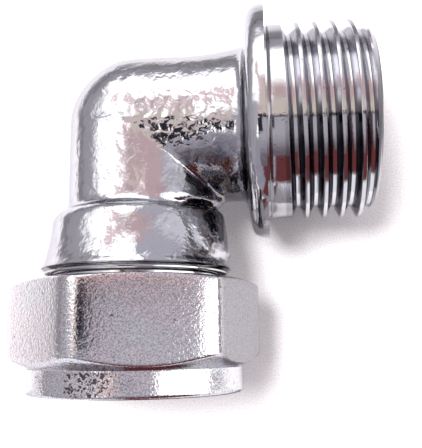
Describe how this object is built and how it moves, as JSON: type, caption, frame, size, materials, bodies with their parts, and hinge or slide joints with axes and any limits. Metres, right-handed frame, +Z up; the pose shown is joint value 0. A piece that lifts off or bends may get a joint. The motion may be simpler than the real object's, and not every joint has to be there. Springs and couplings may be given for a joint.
{
  "type": "compression elbow fitting",
  "caption": "Right-angle pipe fitting: a male parallel pipe thread with a flange on one arm, and a hexagon compression nut and olive that grip a plain tube on the other.",
  "frame": {"origin": "middle of the bounding box, on the surface that the fitting lies on", "axes": "+X out of the male thread, -Y out of the compression port, +Z up, square to both arms"},
  "size_m": [0.0382, 0.0408, 0.0258],
  "materials": {
    "plated_body": "chrome plate over a forged brass skin with a fine hammered ripple, machined bright on the shank and threads",
    "plated_nut": "chrome plate over grained brass flats, satin to bright",
    "bare_brass": "plain turned brass"
  },
  "bodies": {
    "elbow": {"elbow_body": "plated_body"},
    "olive": {"olive": "bare_brass"},
    "nut": {"compression_nut": "plated_nut"}
  },
  "joints": [
    {"name": "olive_slide", "type": "slide", "parent": "elbow", "child": "olive", "axis": [0, -1, 0], "range_m": [0, 0.0049]},
    {"name": "nut_turn", "type": "hinge", "parent": "olive", "child": "nut", "pos_m": [-0.00622, -0.01485, 0.01291], "axis": [0, -1, 0], "range_deg": [0, 1170]}
  ],
  "couplings": [
    {"joint": "olive_slide", "follows": "nut_turn", "m_per_rad": 0.00023873}
  ]
}
